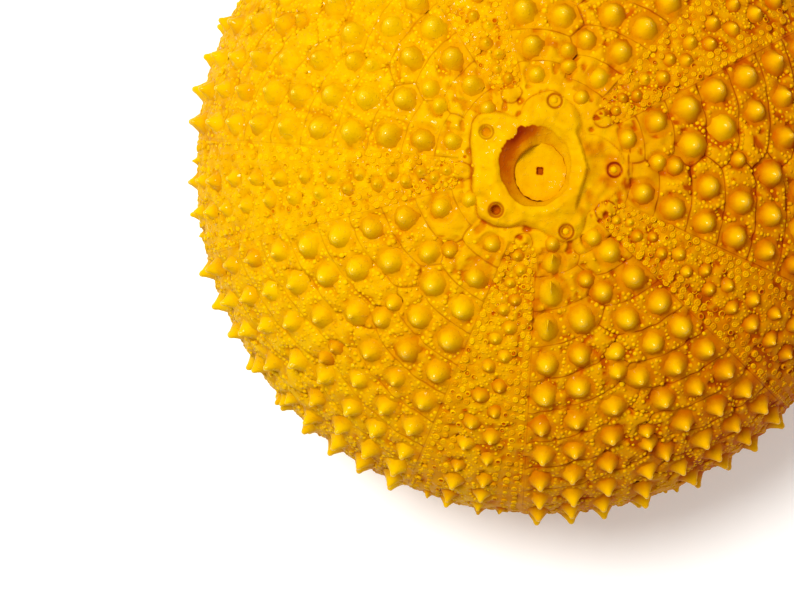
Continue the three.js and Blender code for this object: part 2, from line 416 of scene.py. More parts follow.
def collar_edge(bearing):
    """Distance from the axis to the outer edge of the collar, its corners a little rounded."""
    turns, reaches = zip(*COLLAR_OUTLINE)
    near = [np.interp(bearing + shift, turns, reaches, period=360) for shift in (-4, 0, 4)]
    return sum(near) / 3 * MM


def apical_measures(x, y):
    """What the collar's shapes are measured from: distance from the axis, bearing, lumps of a
    given size, the collar's edge, and distances from the five pores and the five band ends."""
    bearing = compass(x, y)
    ground = np.stack([x, y, np.full_like(x, LUMP_LEVEL)], -1)

    def lump(size, seed):
        return lumps(ground, size * MM, seed)

    edge = collar_edge(bearing) + 0.25 * MM * lump(1.6, 1)
    pores = [np.hypot(x - place[0], y - place[1]) for place in GONOPORES]
    uneven = 1 + 0.25 * lump(1.1, 4)
    ends = [np.hypot(x - place[0], y - place[1]) * uneven for place in BAND_ENDS]
    return np.hypot(x, y), bearing, lump, edge, pores, ends


LUMP_LEVEL = 40 * MM
GONOPORES = around_axis(GONOPORE_BEARINGS, GONOPORE_REACH)
BAND_ENDS = around_axis(BAND_BEARINGS, BAND_END_REACH)


def apical_lines(x, y):
    """1 on the thin dark lines of the collar, falling evenly to 0 at SEAM_REACH from them."""
    radius, bearing, lump, edge, pores, ends = apical_measures(x, y)
    from_line = [np.abs(distance - GONOPORE_RADIUS) for distance in pores]
    from_line += [1.25 * np.abs(distance - BAND_END_RADIUS) for distance in ends]
    around = np.abs(radius - edge - 0.1 * MM)
    from_line.append(around * 1.1 + 0.10 * MM * (1 - groove(bearing - 190, 75)))
    east = np.abs((bearing + 180) % 360 - 180)
    curved = np.abs(radius - 10.9 * MM + 1.1 * MM * np.cos(np.radians(east * 5)) - 0.5 * MM)
    from_line.append(curved + 0.03 * MM * np.clip(east - 18, 0, None))
    away = np.min(from_line, axis=0)
    return np.clip(1 - away / SEAM_REACH, 0, 1) * (1 + 0.10 * lump(1.2, 16))


def apical_relief(x, y):
    """Height and painted shade of the collar, its five plates, their pores and the small plates.
    """
    radius, bearing, lump, edge, pores, ends = apical_measures(x, y)

    # outline of the collar and its rounded lip, which is sharp only where its edge is broken
    facing = groove(bearing - 200, 85)
    slack = (0.55 - 0.40 * facing) * MM
    plateau = smooth(edge + slack, edge - slack - 0.3 * MM, radius)
    crest = groove(radius - CREST_REACH, 0.9 * MM)
    rise = COLLAR_RISE * (0.58 * plateau + 0.42 * crest * plateau)
    inner = np.hypot(*((place - middle) / reach for place, middle, reach
                       in zip((x, y), OPENING_CENTRE, OPENING_RADII)))
    whole = 1 - groove(bearing - BREAK_BEARING, 27)
    rise -= 0.34 * MM * smooth(0.9 * MM, -0.1 * MM, (inner - 1) * 4.5 * MM) * whole
    rim = groove(radius - edge - 0.15 * MM, 0.17 * MM) * (0.3 + 0.7 * facing)
    rise -= 0.18 * MM * rim
    # painted shade: darker in the groove round the collar's edge
    hollow = 0.46 + 0.85 * rim * (1 + 0.5 * lump(1.2, 12))
    uneven = 0.15 * lump(0.75, 19) + 0.18 * lump(2.0, 20)
    rise += uneven * MM * plateau

    # the porous plate, lower than the ridge that ends in a corner beside it, with painted shade
    # and random mottle where it is sunk
    turn = np.abs((bearing - MADREPORITE_BEARING + 180) % 360 - 180)
    border = 5.35 * MM - 0.30 * np.abs(y + 0.3 * MM)
    low = smooth(border, border + 0.3 * MM, x) * smooth(52, 40, turn) * plateau
    rise -= (0.66 * MM + 0.08 * MM * lump(0.75, 2)) * low
    hollow += low * (0.30 + 0.40 * lump(0.8, 3))

    # painted shade: a dark ring round each pore, near-black in the deeper ones
    for distance, depth, strength in zip(pores, GONOPORE_DEPTHS, GONOPORE_RINGS):
        past = distance - GONOPORE_RADIUS
        ring = groove(past, 0.15 * MM) * strength
        rise += 0.07 * MM * groove(past - 0.22 * MM, 0.2 * MM) - 0.16 * MM * ring
        hole = smooth(GONOPORE_RADIUS - 0.1 * MM, 0.42 * MM, distance)
        rise -= depth * hole
        hollow += ring + 2.0 * hole * min(1.0, depth / MM)

    # small plates at the ends of the bands, rough ground and crevices round the collar; painted
    # shade darkens the grooves round the small plates and the crevices, and the rough ground gets
    # random mottle
    swell = (0.3 + 0.35 * lump(0.9, 17)) * MM
    for distance in ends:
        rise += swell * smooth(BAND_END_RADIUS, 0.3 * MM, distance)
        hollow += 0.5 * groove(distance - BAND_END_RADIUS, 0.18 * MM)
    rough = smooth(6.5 * MM, 8 * MM, radius)
    rise += 0.16 * MM * lump(1.0, 5) * rough
    rise += 0.07 * MM * lump(2.2, 6)
    hollow += 0.3 * np.clip(lump(1.3, 7), 0, 1) * rough
    crevice = smooth(0.35, 0.7, lump(0.85, 13))
    crevice = crevice * smooth(edge - 0.2 * MM, edge + 0.4 * MM, radius)
    rise -= 0.3 * MM * crevice
    hollow += crevice + 0.12 * lump(1.5, 14)
    pinched = 1 + 0.5 * lump(0.5, 18)
    # painted shade: near-black in each listed crevice
    for east, north, size in CREVICES:
        distance = np.hypot(x - east * MM, (y - north * MM) * 1.3) * pinched
        cut = smooth(size * MM, 0.4 * size * MM, distance)
        hollow += 1.6 * cut
        rise -= 0.35 * MM * cut
    return rise, np.clip(hollow, 0, 2.0)


def seam_closeness(row, turn, sector):
    """1 on the seams between plates, falling evenly to 0 at SEAM_REACH from them."""
    along, offset, seam, middle, edge = SURFACE.plate_lines(row, turn, sector)
    points = SURFACE.place(row, turn, sector)[0]
    close = [share * np.clip(1 - distance / SEAM_REACH, 0, 1)
             for share, distance in ((0.92, seam), (1.0, middle), (0.84, edge))]
    close[0] *= smooth(1.6, 2.0, nearest_tubercle(points)) * (offset > BAND_HALF_WIDTH - 0.01)
    wear = 0.96 + 0.10 * lumps(points, 1.5 * MM, 15)
    return np.max(close, axis=0) * wear * smooth(10 * MM, 11 * MM, along)


def plate_relief(row, turn, sector):
    """Height and painted shade of the plates, their seams, the bands and the sunken rings."""
    along, offset, seam, middle, edge = SURFACE.plate_lines(row, turn, sector)
    points = SURFACE.place(row, turn, sector)[0]
    inside = smooth(BAND_HALF_WIDTH - 0.3, BAND_HALF_WIDTH + 0.3, offset)
    near = nearest_tubercle(points)
    cut_seam = groove(seam, 0.28 * MM) * inside * smooth(1.75, 2.15, near)
    cut_middle = groove(middle, 0.28 * MM) * inside
    cut_edge = groove(edge, 0.25 * MM)
    ring = smooth(2.5, 1.9, near)
    pores = smooth(4.0, 4.9, offset) * smooth(9.7, 9.0, offset) * (1 - inside)
    rounded = 1 - groove(np.minimum(seam, middle), 0.9 * MM)
    rise = (0.16 * MM * rounded * inside - 0.10 * MM * cut_seam - 0.13 * MM * cut_middle
            - 0.09 * MM * cut_edge - 0.26 * MM * smooth(2.4, 1.95, near) - 0.12 * MM * pores)
    rise = rise + 0.07 * MM * lumps(points, 1.7 * MM, 8) + 0.035 * MM * lumps(points, 0.9 * MM, 9)
    # painted shade: darker in the seams, the sunken rings round the tubercles, the pore zones and
    # below the ambitus, with random mottle
    under = smooth(MERIDIAN.rim - 3.5 * MM, MERIDIAN.rim + 0.5 * MM, along)
    hollow = 0.25 * cut_seam + 0.25 * cut_middle + 0.2 * cut_edge + 0.46 * ring + 0.25 * pores
    hollow = hollow + 0.60 + 0.12 * lumps(points, 2.6 * MM, 10) + 0.18 * under
    fade = smooth(8.6 * MM, 10.2 * MM, along)
    fade = fade * smooth(MERIDIAN.end, MERIDIAN.end - 1.5 * MM, along)
    return rise * fade, np.clip(hollow, 0, 1 + 0.5 * under) * fade


def total_relief(row, turn, sector):
    """Height and hollowness of the wall's outside at any place given by row, turn and sector."""
    points = SURFACE.place(row, turn, sector)[0]
    rise, hollow = plate_relief(row, turn, sector)
    top_rise, top_hollow = apical_relief(points[..., 0], points[..., 1])
    keep = SURFACE.locate(row, turn, sector)[0] < MERIDIAN.rim
    return rise + top_rise * keep, np.maximum(hollow, top_hollow * keep)


# ---------------------------------------------------------------- mesh helpers

def deselect():
    if bpy.context.mode != "OBJECT":
        bpy.ops.object.mode_set(mode="OBJECT")
    bpy.ops.object.select_all(action="DESELECT")


def named(name):
    """The object that an operator has just added, under its own name."""
    piece = bpy.context.object
    piece.name = name
    if piece.type == "MESH":
        piece.data.name = name
    return piece


def circle(name, vertices, radius, height=0.0, fill="NGON", rotation=(0, 0, 0)):
    """A circle on the axis, with its transform applied."""
    deselect()
    bpy.ops.mesh.primitive_circle_add(vertices=vertices, radius=radius, fill_type=fill,
                                      location=(0, 0, height), rotation=rotation)
    piece = named(name)
    bpy.ops.object.transform_apply(location=True, rotation=True, scale=True)
    return piece


def open_mesh():
    """Enters edit mode with everything selected."""
    bpy.ops.object.mode_set(mode="EDIT")
    bpy.ops.mesh.select_all(action="SELECT")


def close_mesh():
    """Turns all faces outward and leaves edit mode."""
    bpy.ops.mesh.select_all(action="SELECT")
    bpy.ops.mesh.normals_make_consistent(inside=False)
    bpy.ops.object.mode_set(mode="OBJECT")


def widen(factor, height):
    """Scales what is selected away from the axis."""
    bpy.ops.transform.resize(value=(factor, factor, 1), center_override=(0, 0, height))


def apply_modifier(piece, name):
    deselect()
    piece.select_set(True)
    bpy.context.view_layer.objects.active = piece
    bpy.ops.object.modifier_apply(modifier=name)


def set_attribute(mesh, name, kind, values):
    layer = mesh.attributes.get(name) or mesh.attributes.new(name, kind, "POINT")
    field = "vector" if kind == "FLOAT_VECTOR" else "value"
    layer.data.foreach_set(field, np.ascontiguousarray(values).ravel())


def vertex_places(mesh):
    flat = np.empty(len(mesh.vertices) * 3)
    mesh.vertices.foreach_get("co", flat)
    return flat.reshape(-1, 3)


def move_vertices(mesh, places):
    mesh.vertices.foreach_set("co", np.ascontiguousarray(places).ravel())
    mesh.update()


def raised_rings(name, sides, profile, tip=0.0):
    """A small turned shape: a round face pulled up ring by ring, closed below and above."""
    radius, height = profile[0]
    piece = circle(name, sides, radius, height)
    open_mesh()
    for next_radius, next_height in profile[1:]:
        bpy.ops.mesh.extrude_region_move(TRANSFORM_OT_translate={"value": (0, 0, 0)})
        bpy.ops.transform.translate(value=(0, 0, next_height - height))
        widen(next_radius / radius, next_height)
        radius, height = next_radius, next_height
    bpy.ops.mesh.poke(offset=tip, use_relative_offset=False)
    close_mesh()
    bpy.ops.object.shade_smooth_by_angle(angle=math.radians(80))
    return piece


def scatter(name, unit, places, normals, sizes, tones):
    """Copies of one small shape set on many places, joined in one mesh by realized instances."""
    mesh = bpy.data.meshes.new(name)
    mesh.from_pydata(places.tolist(), [], [])
    piece = bpy.data.objects.new(name, mesh)
    bpy.context.collection.objects.link(piece)
    tilt = np.arccos(np.clip(normals[:, 2], -1, 1))
    heading = np.arctan2(normals[:, 1], normals[:, 0])
    turns = np.stack([np.zeros_like(tilt), tilt, heading], 1)
    set_attribute(mesh, "turn", "FLOAT_VECTOR", turns)
    set_attribute(mesh, "grow", "FLOAT_VECTOR", sizes)
    set_attribute(mesh, "tone", "FLOAT", tones)
    tree = bpy.data.node_groups.new(name + "_copies", "GeometryNodeTree")
    for direction in ("INPUT", "OUTPUT"):
        tree.interface.new_socket("Geometry", in_out=direction, socket_type="NodeSocketGeometry")
    source, target, copies, shape, real = (tree.nodes.new(kind) for kind in (
        "NodeGroupInput", "NodeGroupOutput", "GeometryNodeInstanceOnPoints",
        "GeometryNodeObjectInfo", "GeometryNodeRealizeInstances"))
    shape.inputs["Object"].default_value = unit
    for attribute, socket in (("turn", "Rotation"), ("grow", "Scale")):
        read = tree.nodes.new("GeometryNodeInputNamedAttribute")
        read.data_type = "FLOAT_VECTOR"
        read.inputs["Name"].default_value = attribute
        tree.links.new(read.outputs["Attribute"], copies.inputs[socket])
    for start, end in ((source.outputs[0], copies.inputs["Points"]),
                       (shape.outputs["Geometry"], copies.inputs["Instance"]),
                       (copies.outputs["Instances"], real.inputs[0]),
                       (real.outputs[0], target.inputs[0])):
        tree.links.new(start, end)
    piece.modifiers.new("Copies", "NODES").node_group = tree
    apply_modifier(piece, "Copies")
    for attribute in ("turn", "grow"):
        layer = piece.data.attributes.get(attribute)
        if layer:
            piece.data.attributes.remove(layer)
    bpy.data.node_groups.remove(tree)
    return piece


def shade(unit, measure, stops):
    """Stores the painted shade of a small shape, darker where it looks hollow, from the height or
    radius of its points in mm.
    """
    places = vertex_places(unit.data) / MM
    found = places[:, 2] if measure == "height" else np.hypot(places[:, 0], places[:, 1])
    levels, values = zip(*stops)
    set_attribute(unit.data, "hollow", "FLOAT", np.interp(found, levels, values))


def discard(unit):
    mesh = unit.data
    bpy.data.objects.remove(unit, do_unlink=True)
    bpy.data.meshes.remove(mesh)


def finish_piece(piece, node="shell"):
    """Dresses a finished piece and ties it to the frame."""
    material = bpy.data.materials.get("dyed_calcite") or dyed_calcite("dyed_calcite")
    piece.data.materials.clear()
    piece.data.materials.append(material)
    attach(piece, "root")
    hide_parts(node)


# ---------------------------------------------------------------- shader helpers

class Value:
    """A shader socket that sums, differences and products can be written on."""

    def __init__(self, graph, socket):
        self.graph = graph
        self.socket = socket

    def maths(self, operation, *terms, clamp=False):
        how = {"operation": operation, "use_clamp": clamp}
        return self.graph.node("ShaderNodeMath", how, dict(enumerate(terms)))

    def held(self):
        """The same value kept between 0 and 1."""
        return self.maths("ADD", self, 0.0, clamp=True)


for sign, operation in (("add", "ADD"), ("sub", "SUBTRACT"), ("mul", "MULTIPLY")):
    setattr(Value, f"__{sign}__", lambda a, b, how=operation: a.maths(how, a, b))
    setattr(Value, f"__r{sign}__", lambda a, b, how=operation: a.maths(how, b, a))


class Graph:
    """The node tree of one material."""

    def __init__(self, name):
        self.material = bpy.data.materials.new(name)
        self.material.use_nodes = True
        self.tree = self.material.node_tree
        self.tree.nodes.clear()

    def node(self, kind, settings=None, sockets=None, output=0):
        made = self.tree.nodes.new(kind)
        for name, value in (settings or {}).items():
            setattr(made, name, value)
        for name, value in (sockets or {}).items():
            if isinstance(value, Value):
                self.tree.links.new(value.socket, made.inputs[name])
            else:
                made.inputs[name].default_value = value
        return Value(self, made.outputs[output]) if made.outputs else None

    def places(self):
        return self.node("ShaderNodeTexCoord", output=3)

    def mix(self, share, first, second):
        """Two colours mixed by a share from 0 to 1."""
        return self.node("ShaderNodeMix", {"data_type": "RGBA", "blend_type": "MIX"},
                         {0: share, 6: first, 7: second}, output=2)

    def noise(self, places, scale, detail=3.0, roughness=0.55):
        return self.node("ShaderNodeTexNoise", {}, {
            "Vector": places, "Scale": scale, "Detail": detail, "Roughness": roughness})

    def attribute(self, name):
        return self.node("ShaderNodeAttribute", {"attribute_name": name}, {}, output=2)

    def surface(self, sockets):
        """Ends the tree in a principled shader and gives the material."""
        shader = self.node("ShaderNodeBsdfPrincipled", {}, sockets)
        self.node("ShaderNodeOutputMaterial", {}, {"Surface": shader})
        return self.material


CLOUD_SCALE = 90.0
MOTTLE_SCALE = 700.0
GRAIN_SCALE = 2600.0
FLAKE_SCALE = 2400.0
SHADED_SIDE = (12.0, -3.0, -3.0)


def dyed_calcite(name):
    """Dyed, lightly varnished calcite with a fine grain and small glints; painted shade makes it
    deeper orange in hollows and on the side away from the key light.
    """
    lit, shaded_side_and_patches, shade_and_mottle, pit, glint = ((*getattr(settings()[1], key), 1)
                                   for key in ("lit", "shaded_side_and_patches", "shade_and_mottle", "pit", "glint"))
    graph = Graph(name)
    places = graph.places()
    hollow = graph.attribute("hollow")
    cloud = graph.noise(places, CLOUD_SCALE, 2.0)
    mottle = graph.noise(places, MOTTLE_SCALE, 3.0)
    grain = graph.noise(places, GRAIN_SCALE, 4.0, 0.65)
    flakes = graph.noise(places, FLAKE_SCALE, 1.0)
    seam = ((graph.attribute("seam") + (mottle - 0.5) * 0.12 - 0.70) * 5.0).held()
    # painted shade: a share growing towards +X, the side away from the key light, where the colour
    # turns more orange and the painted shade in hollows and seams grows
    slope = graph.node("ShaderNodeVectorMath", {"operation": "DOT_PRODUCT"},
                       {0: places, 1: SHADED_SIDE}, output=1)
    side = (slope * 0.9 + 0.37).held()
    # painted shade: the stored hollowness, stronger on the side away from the key light, mixes the
    # colour towards the hollow colour; random mottle and tone move it a little too
    depth = hollow * (side * 0.95 + 0.38)
    shade = (depth * 0.9 + (mottle - 0.5) * 0.6 + graph.attribute("tone") * 0.18).held()
    # painted shade: the deepest hollows turn to the pit colour; so do the seam lines between the
    # plates, more on the shaded side
    dark = ((depth - 1.0).held() + seam * (side * 0.9 + 0.28)).held()
    # the lit colour turns to the second colour as painted shade on the side away from the light,
    # and in random cloud patches
    colour = graph.mix((side * 0.8 + cloud * 0.7 - 0.35).held(), lit, shaded_side_and_patches)
    colour = graph.mix(dark, graph.mix(shade, colour, shade_and_mottle), pit)
    speck = ((flakes - 0.62) * 14.0).held() * (1.0 - side * 1.6).held()
    polish = ((0.05 - hollow) * 9.0).held()
    bump = graph.node("ShaderNodeBump", {}, {
        "Strength": 0.42, "Distance": 0.10 * MM,
        "Height": grain * 0.6 + mottle * 0.8 + speck * 1.2})
    return graph.surface({
        "Base Color": colour, "Normal": bump, "IOR": 1.4,
        "Roughness": (0.42 + mottle * 0.16 + depth * 0.10) * (1.0 - speck * 0.75),
        "Coat Weight": speck * 0.6 + polish * 0.8, "Coat Roughness": 0.15,
        "Specular IOR Level": 0.1, "Specular Tint": glint})


def floor_material(name, colour):
    """Matt white sheet, lit a little from behind."""
    graph = Graph(name)
    grain = graph.noise(graph.places(), 60.0)
    return graph.surface({
        "Base Color": (*colour, 1), "Roughness": 0.75 + grain * 0.1,
        "Emission Color": (1.0, 0.95, 0.93, 1), "Emission Strength": 0.11})


# ---------------------------------------------------------------- wall

def column_turns(sector):
    """Degrees past the band's middle of one sector's columns of points, closer beside seams."""
    width = SURFACE.width[sector]
    band = np.arange(BAND_STEPS) * BAND_HALF_WIDTH / BAND_STEPS
    shares = np.concatenate([[0, 0.014], np.linspace(0.045, 0.955, HALF_STEPS), [0.986]])
    near = np.concatenate([band, BAND_HALF_WIDTH + shares * (width / 2 - BAND_HALF_WIDTH)])
    return np.concatenate([near, [width / 2], width - near[:0:-1]])


def wall_columns():
    turns = [column_turns(sector) for sector in range(SECTORS)]
    sectors = [np.full(len(t), k) for k, t in enumerate(turns)]
    return np.concatenate(turns), np.concatenate(sectors)


def dome_rows():
    """Row numbers of the wall from the apical plates to the mouth, closer beside seams."""
    first, rim, last = (MERIDIAN.row_at(along)
                        for along in (JOIN_RADIUS * 1.015, MERIDIAN.rim, MERIDIAN.end))
    rows = []
    plate = math.floor(first * 2) / 2
    while plate < last:
        if plate < rim - 0.5:
            shares = (0, 0.05, 0.15, 0.25, 0.35, 0.45)
        elif plate < rim + 1.5:
            shares = (0, 0.12, 0.25, 0.38)
        else:
            shares = (0, 0.25)
        rows += [plate + share for share in shares]
        plate += 0.5
    rows = [row for row in rows if first < row < last - 0.1]
    return np.array([first] + rows + [last])


def dome_top(radius):
    """Height of the smooth dome at a distance from the axis."""
    share = np.clip(radius / WALL_RADIUS, 0, 1)
    return AMBITUS_HEIGHT + DOME_RISE * np.sqrt(1 - share ** 2)


def opening_edge(bearing, jagged=1.0):
    """Distance from the axis to the uneven edge of the apical opening, with its broken teeth."""
    rng = dice(2)
    step = np.linspace(0, 2 * math.pi, 720)
    ray = np.linspace(0, 8 * MM, 400)[:, None]
    x = ray * np.cos(step) - OPENING_CENTRE[0]
    y = ray * np.sin(step) - OPENING_CENTRE[1]
    out = np.hypot(x / OPENING_RADII[0], y / OPENING_RADII[1]) > 1
    edge = ray[np.argmax(out, axis=0), 0]
    for waves in (5, 9, 14):
        wave = np.sin(waves * step + rng.uniform(0, 6.28))
        edge = edge + 0.30 * MM / waves ** 0.8 * wave
    teeth = 0
    for pace, size in ((2.6, 0.13), (4.1, 0.20), (9.0, 0.22)):
        knots = np.arange(0, 360, pace)
        knots = knots + rng.uniform(0, 0.4 * pace, len(knots))
        heights = rng.uniform(-1, 1, len(knots))
        teeth = teeth + np.interp(np.degrees(step), knots, heights) * size * MM
    teeth = teeth * (groove(np.degrees(step) - BREAK_BEARING, 34) + 0.12)
    return np.interp(np.asarray(bearing) % (2 * math.pi), step, edge + teeth * jagged)


APEX_SHARES = np.linspace(0, 0.965, 30)
# how far the bore's rings are from the disc to the opening's edge: outward, then upward
BORE_STEPS = ((0.0, 0.0), (0.0, 0.42), (0.12, 0.50), (0.32, 0.60), (0.55, 0.72), (0.78, 0.86),
              (0.93, 0.96))
# radius, height and hollowness of the rings inside the mouth's lip
LIP_STEPS = ((MOUTH_RADIUS - 0.35 * MM, LIP_HEIGHT + 0.35 * MM, 0.2),
             (MOUTH_RADIUS - 0.45 * MM, LIP_HEIGHT + 0.9 * MM, 0.3),
             (MOUTH_RADIUS - 0.1 * MM, FLOOR_HEIGHT - 0.1 * MM, 0.4))


def build_rows():
    """Every row of the wall as points, hollowness and lines, from the seat to the inside."""
    turn, sector = wall_columns()
    unit_bearing = np.radians(BAND_BEARINGS[sector] + turn)
    cosine, sine = np.cos(unit_bearing), np.sin(unit_bearing)
    bearing = np.degrees(unit_bearing) % 360
    rows = []

    def add_row(x, y, height, hollow, lines=0.0):
        points = np.stack(np.broadcast_arrays(x, y, height), 1)
        rows.append((points, *(np.broadcast_to(value, x.shape) for value in (hollow, lines))))

    def ring(radius, height, hollow, centre=(0.0, 0.0)):
        add_row(centre[0] + radius * cosine, centre[1] + radius * sine, height, hollow)

    # the seat under the disc, painted dark as shade, then up the sloping bore to the opening's
    # edge
    edge = opening_edge(unit_bearing)
    edge_top = dome_top(edge) + apical_relief(edge * cosine, edge * sine)[0] - 0.1 * MM
    seat_height = DISC_LOW[2] - 0.25 * MM
    seat_inset = SEAT_RADIUS - 0.6 * MM
    ring(seat_inset, seat_height, 1.6, PLATE_CENTRE)
    free = groove(bearing - 245, 70)
    bore_x = PLATE_CENTRE[0] + (PLATE_RADII[0] + BORE_GAP * free) * cosine
    bore_y = PLATE_CENTRE[1] + (PLATE_RADII[1] + BORE_GAP * free) * sine
    torn = groove(bearing - BREAK_BEARING, 27)
    for out, up in BORE_STEPS:
        reach = opening_edge(unit_bearing, 1.0 if out > 0.9 else 0.0)
        climb = up ** (1 - 0.75 * torn * (up < 1))
        # painted shade: dark low down beside the gap, on the side away from the light and under
        # the broken teeth
        tone = 0.46 + (0.3 + 1.2 * free) * smooth(0.5, 0.3, up)
        tone = tone + 0.75 * groove(bearing - SHADED_BEARING, 62) * smooth(0.4, 0.7, up)
        tone = tone + 2.0 * torn * smooth(0.6, 0.86, up)
        tone = tone + 0.8 * groove(bearing - 165, 80) * (up < 0.97)
        add_row(bore_x + (reach * cosine - bore_x) * out, bore_y + (reach * sine - bore_y) * out,
                seat_height + (edge_top - seat_height) * climb, tone)

    # apical plates out to the first plate row
    join = SURFACE.place(dome_rows()[0], turn, sector)[0]
    join_radius = np.hypot(join[:, 0], join[:, 1])
    for share in APEX_SHARES:
        radius = edge + (join_radius - edge) * share
        x, y = radius * cosine, radius * sine
        rise, hollow = apical_relief(x, y)
        add_row(x, y, dome_top(radius) + rise, hollow, apical_lines(x, y))

    for row in dome_rows():
        level = np.full(turn.shape, row)
        rise, hollow = total_relief(level, turn, sector)
        x, y, height = SURFACE.place(level, turn, sector, rise)[0].T
        top = smooth(11.5 * MM, 11 * MM, np.hypot(x, y))
        lines = np.maximum(seam_closeness(level, turn, sector), apical_lines(x, y) * top)
        add_row(x, y, height, hollow, lines)

    # mouth lip with its gill notches, then the inside up to the seat
    notch = smooth(2.6, 1.2, np.abs(SURFACE.offset(turn, sector) - BAND_HALF_WIDTH))
    for radius, height, hollow in LIP_STEPS:
        ring(radius + GILL_NOTCH * notch, height, hollow)
    inner_radius = WALL_RADIUS - WALL_THICKNESS
    inner_rise = DOME_RISE - WALL_THICKNESS
    low = bezier([(MOUTH_RADIUS + 1 * MM, FLOOR_HEIGHT), (inner_radius * FOOT_SHARE, FLOOR_HEIGHT),
                  (inner_radius, AMBITUS_HEIGHT * 0.5), (inner_radius, AMBITUS_HEIGHT)], 9)
    for radius, height in low:
        ring(radius, height, 0.5)
    top = math.acos((SEAT_RADIUS + 0.9 * MM) / inner_radius)
    for angle in np.linspace(0, top, 11)[1:]:
        ring(inner_radius * math.cos(angle), AMBITUS_HEIGHT + inner_rise * math.sin(angle), 0.5)
    ring(seat_inset, seat_height - 0.9 * MM, 0.8, PLATE_CENTRE)
    return rows


def build_wall():
    """One closed skin: a profile spun round the axis, its points then set on the wall's rows."""
    rows = build_rows()
    count = len(rows)
    piece = circle("test_wall", count, 4 * MM, fill="NOTHING", rotation=(math.pi / 2, 0, 0))
    mesh = piece.data
    places = vertex_places(mesh)
    order = np.argsort(np.argsort(-np.arctan2(places[:, 2], places[:, 0]) % (2 * math.pi)))
    profile = np.zeros((count, 3))
    profile[:, 0] = 20 * MM + 10 * MM * np.cos(2 * math.pi * order / count)
    profile[:, 2] = 20 * MM - 10 * MM * np.sin(2 * math.pi * order / count)
    move_vertices(mesh, profile)
    set_attribute(mesh, "row", "INT", order)
    open_mesh()
    bpy.ops.mesh.spin(steps=WALL_STEPS, angle=2 * math.pi, center=(0, 0, 0), axis=(0, 0, 1))
    bpy.ops.mesh.select_all(action="SELECT")
    bpy.ops.mesh.remove_doubles(threshold=0.002 * MM)
    close_mesh()
    mesh = piece.data
    places = vertex_places(mesh)
    row = np.empty(len(mesh.vertices), dtype=np.int32)
    mesh.attributes["row"].data.foreach_get("value", row)
    share = np.arctan2(places[:, 1], places[:, 0]) / (2 * math.pi) % 1
    column = np.round(share * WALL_STEPS).astype(int) % WALL_STEPS
    points, hollows, seams = (np.stack(values) for values in zip(*rows))
    move_vertices(mesh, points[row, column])
    # hollow: how much painted shade each point gets in the material
    set_attribute(mesh, "hollow", "FLOAT", hollows[row, column])
    set_attribute(mesh, "seam", "FLOAT", seams[row, column])
    mesh.attributes.remove(mesh.attributes["row"])
    open_mesh()
    close_mesh()
    bpy.ops.object.shade_smooth()
    return piece


# ---------------------------------------------------------------- what stands on the wall

# A profile is the radius and height of each ring. A shade is the painted shade of a height or
# radius: dark at feet and in open pores' middles, light on tops. Those of tubercles are in
# millimetres.
TUBERCLE_PROFILE = ((1.95, -0.44), (1.68, -0.14), (1.33, 0.21), (1.00, 0.76), (0.65, 1.20),
                    (0.33, 1.53))
NIPPLE_PROFILE = ((1.95, -0.44), (1.62, -0.12), (1.22, 0.19), (0.86, 0.64), (0.54, 1.06),
                  (0.37, 1.45), (0.22, 1.62))
TORN_PROFILE = ((1.95, -0.44), (1.66, -0.12), (1.40, 0.14), (1.20, 0.46), (1.01, 0.80),
                (0.82, 1.12), (0.63, 1.40), (0.46, 1.62), (0.31, 1.78), (0.18, 1.88))
TUBERCLE_SHADE = ((-0.3, 1.12), (-0.1, 1.08), (0.1, 0.86), (0.36, 0.60), (0.7, 0.32),
                  (1.0, 0.10), (1.8, -0.1))
TIP_HEIGHT = 1.68
NIPPLE_FROM = 30 * MM
TORN_BEARING = 271.5
TORN_HALF_WIDTH = 5
TORN_REACH = 20.8 * MM
# granules and pores are drawn 1 m wide and then scaled to their width
GRANULE_PROFILE = ((0.60, -0.28), (0.38, 0.11))
GRANULE_SHADE = ((-0.28, 0.8), (0.11, 0.36), (0.2, 0.2))
PORE_PROFILE = ((0.58, -0.26), (0.47, 0.12), (0.36, 0.16), (0.25, 0.05))
OPEN_PORE_SHADE = ((0.0, 1.9), (0.25, 1.8), (0.36, 0.7), (0.47, 0.4), (0.56, 0.8))
FILLED_PORE_SHADE = ((0.0, 0.3), (0.25, 0.62), (0.36, 0.35), (0.47, 0.40), (0.56, 0.9))
OPEN_PORE_SHARE = 0.14
PORE_COLUMNS = (4.7, 6.7, 8.5)
PORE_STEP = 1.22 * MM
RING_REACH = 2.16 * MM
RING_STEP = 0.52 * MM
SEAM_STEP = 0.58 * MM
SEAM_GAP = 0.44 * MM
LINE_GAP = 0.46 * MM
LINE_ROWS = 0.12
LOOSE_PLACES = 60000
GRANULE_SINK = 0.02 * MM
GRANULE_TRIANGLES = 22
PIECE_TRIANGLES = 190000
NEIGHBOURS = [(i - 1, j - 1, k - 1) for i, j, k in np.ndindex(3, 3, 3)]


def tilted(normals, amount, rng):
    """Directions leaning a little at random."""
    leaned = normals + rng.normal(0, amount, normals.shape)
    return leaned / np.linalg.norm(leaned, axis=1)[:, None]


def is_torn(sites):
    """The first three tubercles of one column, which are worn to a sharp crest."""
    x, y = SURFACE.stand(sites)[0][:, :2].T
    in_column = np.abs(compass(x, y) - TORN_BEARING) < TORN_HALF_WIDTH
    return in_column & (np.hypot(x, y) < TORN_REACH)


